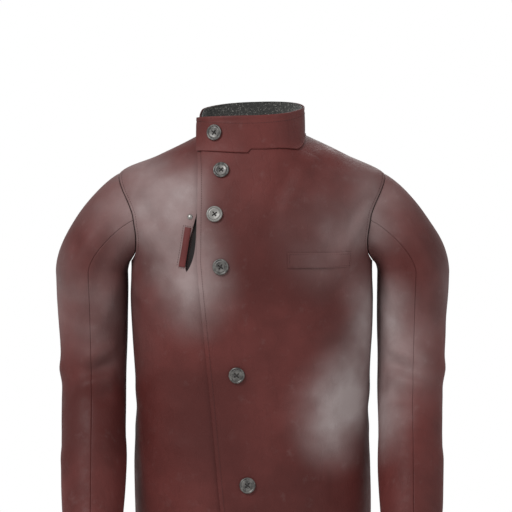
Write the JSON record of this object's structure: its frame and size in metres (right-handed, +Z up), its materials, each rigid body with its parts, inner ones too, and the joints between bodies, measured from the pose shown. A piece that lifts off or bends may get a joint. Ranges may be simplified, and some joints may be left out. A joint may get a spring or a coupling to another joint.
{
  "type": "leather welding jacket",
  "caption": "Burgundy leather work jacket with a stand collar, an asymmetric buttoned front overlap, a slit chest pocket and long sleeves.",
  "frame": {"origin": "middle of the ring where the collar is sewn to the body", "axes": "+Z up to the collar's rim, +X to the wearer's left, -Y out of the front"},
  "size_m": [0.628, 0.318, 0.7681],
  "materials": {
    "leather": "matte smooth burgundy leather with pale worn patches",
    "dark_leather": "darker oxblood leather on the pocket lips",
    "lining": "dark grey speckled wool cloth",
    "pocketing": "plain dark cotton",
    "button": "gunmetal grey, raised rim, satin",
    "stud_metal": "dull nickel"
  },
  "bodies": {
    "jacket_body": {"back_lining": "lining", "back_panel": "leather", "chest_pocket_bag": "pocketing", "chest_pocket_welt": "dark_leather", "collar": "leather", "collar_lining": "lining", "collar_stud": "stud_metal", "front_stud_1": "stud_metal", "front_stud_2": "stud_metal", "front_stud_3": "stud_metal", "front_stud_4": "stud_metal", "front_stud_5": "stud_metal", "left_front": "leather", "left_front_lining": "lining", "left_sleeve_head_lining": "lining", "left_sleeve_head_top": "leather", "left_sleeve_head_under": "leather", "right_front": "leather", "right_front_lining": "lining", "right_sleeve_head_lining": "lining", "right_sleeve_head_top": "leather", "right_sleeve_head_under": "leather", "slit_pocket_bag": "pocketing", "slit_pocket_stud": "stud_metal", "slit_pocket_welt": "dark_leather"},
    "front_flap": {"front_button_1": "button", "front_button_2": "button", "front_button_3": "button", "front_button_4": "button", "front_button_5": "button", "front_overlap": "leather", "front_socket_1": "stud_metal", "front_socket_2": "stud_metal", "front_socket_3": "stud_metal", "front_socket_4": "stud_metal", "front_socket_5": "stud_metal", "overlap_facing": "lining"},
    "collar_flap": {"collar_button": "button", "collar_socket": "stud_metal", "collar_tab": "leather", "collar_tab_lining": "lining"},
    "left_upper_sleeve": {"left_upper_sleeve_lining": "lining", "left_upper_sleeve_top": "leather", "left_upper_sleeve_under": "leather"},
    "left_forearm": {"left_forearm_sleeve_lining": "lining", "left_forearm_sleeve_top": "leather", "left_forearm_sleeve_under": "leather"},
    "right_upper_sleeve": {"right_upper_sleeve_lining": "lining", "right_upper_sleeve_top": "leather", "right_upper_sleeve_under": "leather"},
    "right_forearm": {"right_forearm_sleeve_lining": "lining", "right_forearm_sleeve_top": "leather", "right_forearm_sleeve_under": "leather"}
  },
  "joints": [
    {"name": "front_flap_open", "type": "hinge", "parent": "jacket_body", "child": "front_flap", "pos_m": [-0.0045, -0.1355, -0.02], "axis": [-0.0585, 0, 0.9983], "range_deg": [0, 100]},
    {"name": "collar_flap_open", "type": "hinge", "parent": "jacket_body", "child": "collar_flap", "pos_m": [-0.0048, -0.0908, 0], "axis": [0, 0, 1], "range_deg": [0, 90]},
    {"name": "left_shoulder_raise", "type": "hinge", "parent": "jacket_body", "child": "left_upper_sleeve", "pos_m": [0.205, 0, -0.125], "axis": [0, -1, 0], "range_deg": [0, 70], "deforming": ["left_sleeve_head_top", "left_sleeve_head_under", "left_sleeve_head_lining"]},
    {"name": "left_elbow_bend", "type": "hinge", "parent": "left_upper_sleeve", "child": "left_forearm", "pos_m": [0.253, -0.0706, -0.3587], "axis": [-1, 0, 0], "range_deg": [0, 90]},
    {"name": "right_shoulder_raise", "type": "hinge", "parent": "jacket_body", "child": "right_upper_sleeve", "pos_m": [-0.205, 0, -0.125], "axis": [0, 1, 0], "range_deg": [0, 70], "deforming": ["right_sleeve_head_top", "right_sleeve_head_under", "right_sleeve_head_lining"]},
    {"name": "right_elbow_bend", "type": "hinge", "parent": "right_upper_sleeve", "child": "right_forearm", "pos_m": [-0.253, -0.0706, -0.3587], "axis": [-1, 0, 0], "range_deg": [0, 90]}
  ]
}
